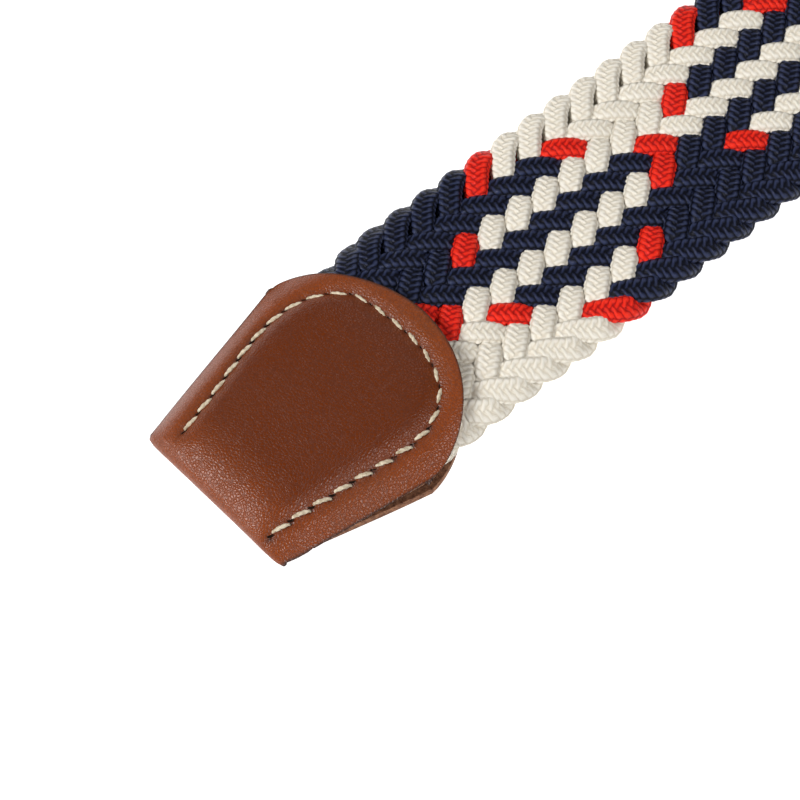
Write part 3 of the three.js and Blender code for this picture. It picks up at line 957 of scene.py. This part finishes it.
def metal_material(look):
    """Satin nickel, brushed and slightly rubbed."""
    material, graph, surface = new_material("Satin Nickel", metallic=1.0)
    place = place_of(graph)
    stretched = graph.node("ShaderNodeMapping", {"Vector": place, "Scale": (0.06, 1.0, 1.0)})
    brushed = graph.noise(stretched.outputs[0], scale=9000.0)
    lightened = graph.span(graph.noise(place, scale=160.0, detail=4.0), 0.35, 0.7)
    graph.feed(surface["Base Color"], graph.mix(lightened, rgba(look.metal), rgba(look.metal_worn)))
    rough = graph.span(lightened, 0.0, 1.0, 0.3, 0.34)
    graph.feed(surface["Roughness"], graph.plus(rough, graph.times(brushed, 0.08)))
    graph.feed(surface["Normal"], bump_of(graph, brushed, 0.00001, 0.6))
    return material


SEWN_LOOKS = {"Tan Leather": leather_material, "Leather Edge": edge_material,
              "Edge Paint": paint_material, "Waxed Thread": thread_material,
              "Needle Hole": hole_shade_material}


def floor_material():
    """A plain pale studio surface with the faintest tooth."""
    material, graph, surface = new_material("Studio Surface", roughness=0.9,
                                            specular_ior_level=0.1, emission_strength=0.9)
    surface["Emission Color"].default_value = (1.0, 1.0, 1.0, 1.0)
    tooth = graph.noise(place_of(graph), scale=300.0)
    graph.feed(surface["Base Color"], graph.mix(tooth, (0.6, 0.6, 0.6, 1.0),
                                                (0.64, 0.64, 0.64, 1.0)))
    return material


# Settings that a user would change

def length_setting(name, description, default):
    """A size in millimetres."""
    return bpy.props.FloatProperty(name=name, description=f"{description}, mm", default=default,
                                   soft_min=0.0, precision=3)


def angle_setting(name, description, default):
    return bpy.props.FloatProperty(name=name, description=description, default=default,
                                   subtype="ANGLE")


def place_setting(name, description, default):
    return bpy.props.FloatVectorProperty(name=name, description=description, default=default,
                                         unit="LENGTH")


def number_setting(name, description, default):
    return bpy.props.FloatProperty(name=name, description=description, default=default, precision=3)


def colour_setting(name, description, default):
    return bpy.props.FloatVectorProperty(name=name, description=description, default=default,
                                         subtype="COLOR", size=3, min=0.0, max=1.0)


def srgb(red, green, blue):
    """A linear colour from the 0 to 255 values that a picture shows."""
    def linear(value):
        value /= 255
        return value / 12.92 if value <= 0.04045 else ((value + 0.055) / 1.055) ** 2.4
    return (linear(red), linear(green), linear(blue))


class BraidSettings(bpy.types.PropertyGroup):
    strap_width: length_setting("Strap width", "Width of the braid", 35.0)
    crossing_step: length_setting("Crossing step", "Run along the belt from crossing to crossing", 2.6145)
    lattice_start: length_setting("Lattice start", "Place of the first cord's turn at the edge", -408.0)
    cord_width: length_setting("Cord width", "Width of one flattened cord", 3.9)
    cord_thickness: length_setting("Cord thickness", "Thickness of one cord", 2.1)
    section_power: number_setting("Squareness", "How square a cord's section is", 2.35)
    edge_inset: length_setting("Edge inset", "How far the cords draw in towards their turns", 0.55)
    far_inset: length_setting("Far inset", "The same at the +Y edge, where they spread instead", -0.6)
    far_lead: length_setting("Far lead", "How far back along the belt they turn at the +Y edge", 0.5)
    inset_from: length_setting("Inset from", "Distance from the middle where they start to draw in", 11.5)
    inset_run: length_setting("Inset run", "Distance over which they draw in", 4.0)
    turn_round: length_setting("Turn rounding", "Half length of a cord's bend at the edge", 2.6)
    edge_tilt: angle_setting("Edge tilt", "Tilt of a cord at its turn", 0.4)
    float_square: number_setting("Float squareness", "How steeply a cord dives under its neighbours", 2.3)
    float_pinch: number_setting("Float pinch", "How much narrower a cord is where it dives", 0.16)
    float_crown: number_setting("Float crown", "How much a cord arches where it lies on top", 0.42)
    yarn_pitch: length_setting("Yarn pitch", "Distance between the plaited yarns along a cord", 0.98)
    yarn_lean: number_setting("Yarn lean", "Slant of the yarns, in pitches across one column", 0.95)
    yarn_relief: length_setting("Yarn relief", "Depth of the grooves between yarns", 0.23)
    edge_calm: number_setting("Edge calm", "How much flatter the yarns lie at the turns", 0.5)
    yarn_gloss: number_setting("Yarn gloss", "Specular level of the yarn", 0.14)
    yarn_sheen: number_setting("Yarn sheen", "Sheen of the yarn", 0.004)
    near_from: length_setting("Close from", "Start of the finely made stretch", -453.0)
    near_to: length_setting("Close to", "End of the finely made stretch", -344.0)
    near_step: length_setting("Close step", "Ring spacing in the finely made stretch", 0.2)
    far_step: length_setting("Far step", "Ring spacing elsewhere", 1.8)
    # each dye's shade is painted shade in the grooves between the yarns, and its crest a painted
    # highlight on top of the yarns
    navy: colour_setting("Navy", "Colour of the navy cords", srgb(2, 5, 25))
    navy_shade: colour_setting("Navy shade", "Navy in the grooves", srgb(1, 2, 7))
    navy_crest: colour_setting("Navy crest", "Navy on top of the yarns", srgb(60, 68, 99))
    cream: colour_setting("Cream", "Colour of the cream cords", srgb(225, 218, 204))
    cream_shade: colour_setting("Cream shade", "Cream in the grooves", srgb(207, 196, 176))
    cream_crest: colour_setting("Cream crest", "Cream on top of the yarns", srgb(240, 235, 224))
    red: colour_setting("Red", "Colour of the red cords", srgb(227, 32, 18))
    red_shade: colour_setting("Red shade", "Red in the grooves", srgb(98, 1, 7))
    red_crest: colour_setting("Red crest", "Red on top of the yarns", srgb(247, 56, 36))


class LeatherSettings(bpy.types.PropertyGroup):
    stitch_pitch: length_setting("Stitch pitch", "Distance between needle holes", 3.3)
    stitch_gap: length_setting("Stitch gap", "Leather between a hole's middle and the thread's end", 0.3)
    stitch_slant: length_setting("Stitch slant", "Sideways slant of each stitch", 0.28)
    slit_length: length_setting("Slit length", "Length of a needle hole", 1.0)
    slit_width: length_setting("Slit width", "Width of a needle hole", 0.38)
    slit_turn: angle_setting("Slit turn", "Turn of the holes to the seam", 0.35)
    thread: length_setting("Thread", "Thickness of the thread", 0.68)
    thread_twist: number_setting("Thread twist", "Turns of twist in one stitch", 1.5)
    seam_depth: length_setting("Seam depth", "How deep the seam pulls the leather in", 0.6)
    seam_width: length_setting("Seam width", "Reach of the seam's dip", 1.3)
    hole_depth: length_setting("Hole depth", "Depth of a needle hole's dimple", 0.4)
    hole_width: length_setting("Hole width", "Reach of a needle hole's dimple", 0.5)
    puff: length_setting("Puff", "Extra height of the leather inside the seam", 0.45)
    puff_reach: length_setting("Puff reach", "Distance from the seam to the full puff", 6.0)
    fold_run: length_setting("Fold run", "How far the fold's rounding reaches over the top", 4.2)
    fold_corner: length_setting("Fold corner", "Rounding of the fold's two corners", 0.9)
    low_tuck: length_setting("Lower tuck", "How far the lower leather lies inside near the fold", 0.5)
    top_tuck: length_setting("Upper tuck", "How far the tip's open side is drawn in", 0.5)
    closed_run: length_setting("Closed run", "Distance from the fold where the sides are shut", 3.0)
    edge_open: length_setting("Edge opening", "Height of the upper leather's side where it is open", 2.2)
    droop_power: number_setting("Droop power", "How close to the edge the leather curls down", 8.0)
    edge_round: length_setting("Edge rounding", "Rounding of the cut edges", 0.4)
    tip_yaw: angle_setting("Tip turn", "Turn of the tip on the strap", math.radians(-2.1))
    tip_lead: length_setting("Tip lead", "How much further along the tip's +Y corner lies", 2.4)
    tip_lag: length_setting("Tip lag", "How much less far along the tip's -Y corner lies", 2.6)
    paint_lap: length_setting("Paint lap", "How far the edge paint laps onto the leather", 0.26)
    grain_size: length_setting("Grain size", "Size of the pebbles of the grain", 0.42)
    grain_depth: length_setting("Grain depth", "Depth of the grain", 0.042)
    colour: colour_setting("Tan", "Main colour", srgb(117, 56, 20))
    colour_pale: colour_setting("Pale tan", "Colour of paler blotches", srgb(130, 59, 19))
    # drawn darker inside the seam
    colour_inside_seam: colour_setting("Stretched", "Colour where it is stretched", srgb(90, 35, 2))
    # the deep colour is painted shade in the grain's creases and along the seam, and also the darker tone
    # of the raw fibres and the edge paint
    colour_deep: colour_setting("Deep", "Colour in creases", srgb(62, 26, 13))
    # the edge paint also gives the painted shade round the needle holes
    edge_paint: colour_setting("Edge paint", "Paint along the cut edges", srgb(40, 28, 24))
    edge_raw: colour_setting("Raw edge", "Fibres of the inner side and the cut edge", srgb(150, 106, 78))
    thread_colour: colour_setting("Thread", "Colour of the thread", srgb(212, 200, 176))
    thread_shade: colour_setting("Thread shade", "Darker plies of the thread", srgb(146, 128, 100))


class BuckleSettings(bpy.types.PropertyGroup):
    metal: colour_setting("Metal", "Colour of the buckle", (0.62, 0.6, 0.56))
    metal_worn: colour_setting("Rubbed metal", "Colour where it is rubbed", (0.72, 0.7, 0.66))


class StageSettings(bpy.types.PropertyGroup):
    target: place_setting("Target", "Point the camera looks at", (-0.44603, -0.00674, 0.0042))
    camera: place_setting("Camera", "Place of the camera", (-0.57529, -0.15375, 0.31906))
    lens: length_setting("Lens", "Focal length of the camera", 121.45)
    floor: bpy.props.FloatProperty(name="Floor", description="Half width of the floor",
                                   default=4.0, unit="LENGTH")


# Operators

# each light's name, place and width in metres, and power in watts
LIGHTS = (
    ("Key", (-1.3, 0.4, 0.8), 0.5, 18.5),
    ("Fill", (-0.15, -1.0, 0.75), 0.34, 9.5),
    ("Back", (0.6, 0.7, 0.9), 0.45, 2.5),
)
AMBIENT = 0.07


def fold_and_sew(name, node, wrap, path, look, grid, skew, cut=None):
    """Folds one wrap's leather, sews it and paints shade into its needle holes."""
    outer, raw, paint, thread, hole = (bpy.data.materials.get(title) or make(title, look)
                                       for title, make in SEWN_LOOKS.items())
    seam = StitchLine(wrap, path, look)
    build_wrap(f"{name}_leather", node, wrap, seam, look, grid, [outer, raw, paint], skew, cut)
    build_stitches(f"{name}_stitches", wrap, seam, look, thread, skew.yaw)
    build_hole_shade(f"{name}_painted_hole_shade", wrap, seam, look, hole, skew.yaw)


class BELT_OT_cords(bpy.types.Operator):
    """Braid the seventeen plaited cords of the strap"""
    bl_idname = "belt.braid_cords"
    bl_label = "Braid Cords"

    def execute(self, context):
        look = context.scene.belt_braid
        dyed = {dye: cord_material(dye, look) for dye in ("navy", "cream", "red")}
        for number in range(CORDS):
            dye = "red" if number in RED_CORDS else "cream" if number in CREAM_CORDS else "navy"
            build_cord(number, look, dyed[dye])
        return {"FINISHED"}


class BELT_OT_tip(bpy.types.Operator):
    """Fold the leather tip round the strap's end and sew it on"""
    bl_idname = "belt.fold_tip"
    bl_label = "Fold Leather Tip"

    def execute(self, context):
        look = context.scene.belt_leather
        skew = Skew(look.tip_yaw, look.tip_lead, look.tip_lag, look.top_tuck)
        fold_and_sew("tip", "leather_tip", TIP, TIP_SEAM, look, TIP_GRID, skew)
        return {"FINISHED"}


class BELT_OT_tab(bpy.types.Operator):
    """Fold the leather tab round the buckle's bar and sew it on"""
    bl_idname = "belt.fold_tab"
    bl_label = "Fold Buckle Tab"

    def execute(self, context):
        look = context.scene.belt_leather
        fold_and_sew("tab", "buckle_tab", TAB, TAB_SEAM, look, TAB_GRID, Skew(), in_slot)
        return {"FINISHED"}


class BELT_OT_buckle(bpy.types.Operator):
    """Finish the buckle in satin nickel"""
    bl_idname = "belt.finish_buckle"
    bl_label = "Finish Buckle"

    def execute(self, context):
        material = metal_material(context.scene.belt_buckle)
        for slot in bpy.data.objects["buckle"].material_slots:
            slot.material = material
        return {"FINISHED"}


class BELT_OT_stage(bpy.types.Operator):
    """Set the floor, the soft lights and the camera"""
    bl_idname = "belt.set_stage"
    bl_label = "Set Stage"

    def execute(self, context):
        look = context.scene.belt_stage
        scene = context.scene
        half = look.floor
        mesh = bpy.data.meshes.new("studio_floor")
        corners = [(-half, -half, 0), (half, -half, 0), (half, half, 0), (-half, half, 0)]
        mesh.from_pydata(corners, [], [(0, 1, 2, 3)])
        mesh.materials.append(floor_material())
        floor = bpy.data.objects.new("studio_floor", mesh)
        scene.collection.objects.link(floor)

        world = bpy.data.worlds.new("Studio")
        world.use_nodes = True
        back = world.node_tree.nodes["Background"]
        back.inputs["Color"].default_value = (1.0, 1.0, 1.0, 1.0)
        back.inputs["Strength"].default_value = AMBIENT
        scene.world = world

        target = Vector(look.target)
        for name, place, size, power in LIGHTS:
            data = bpy.data.lights.new(name, "AREA")
            data.size = size
            data.energy = power
            lamp = bpy.data.objects.new(name, data)
            lamp.location = place
            lamp.rotation_euler = (target - lamp.location).to_track_quat("-Z", "Y").to_euler()
            scene.collection.objects.link(lamp)

        data = bpy.data.cameras.new("View")
        data.lens = look.lens
        data.sensor_width = 36.0
        data.clip_start = 0.01
        camera = bpy.data.objects.new("View", data)
        camera.location = look.camera
        way = target - camera.location
        camera.rotation_euler = way.to_track_quat("-Z", "Y").to_euler()
        scene.collection.objects.link(camera)
        scene.camera = camera
        scene.view_settings.view_transform = "Standard"
        return {"FINISHED"}


class BELT_PT_panel(bpy.types.Panel):
    """Lists the steps that make the belt"""
    bl_idname = "BELT_PT_panel"
    bl_label = "Braided Belt"
    bl_space_type = "VIEW_3D"
    bl_region_type = "UI"
    bl_category = "Belt"

    def draw(self, context):
        for step in STEPS:
            self.layout.operator(step.bl_idname)


SETTINGS = {"belt_braid": BraidSettings, "belt_leather": LeatherSettings,
            "belt_buckle": BuckleSettings, "belt_stage": StageSettings}
STEPS = (BELT_OT_stage, BELT_OT_cords, BELT_OT_tip, BELT_OT_tab, BELT_OT_buckle)


def register():
    for group in SETTINGS.values():
        bpy.utils.register_class(group)
    for name, group in SETTINGS.items():
        setattr(bpy.types.Scene, name, bpy.props.PointerProperty(type=group))
    for step in STEPS:
        bpy.utils.register_class(step)
    bpy.utils.register_class(BELT_PT_panel)


def unregister():
    bpy.utils.unregister_class(BELT_PT_panel)
    for step in reversed(STEPS):
        bpy.utils.unregister_class(step)
    for name, group in SETTINGS.items():
        delattr(bpy.types.Scene, name)
        bpy.utils.unregister_class(group)


def main():
    register()
    bpy.ops.belt.set_stage()
    bpy.ops.belt.braid_cords()
    bpy.ops.belt.fold_tip()
    bpy.ops.belt.fold_tab()
    bpy.ops.belt.finish_buckle()


if __name__ == "__main__":
    main()
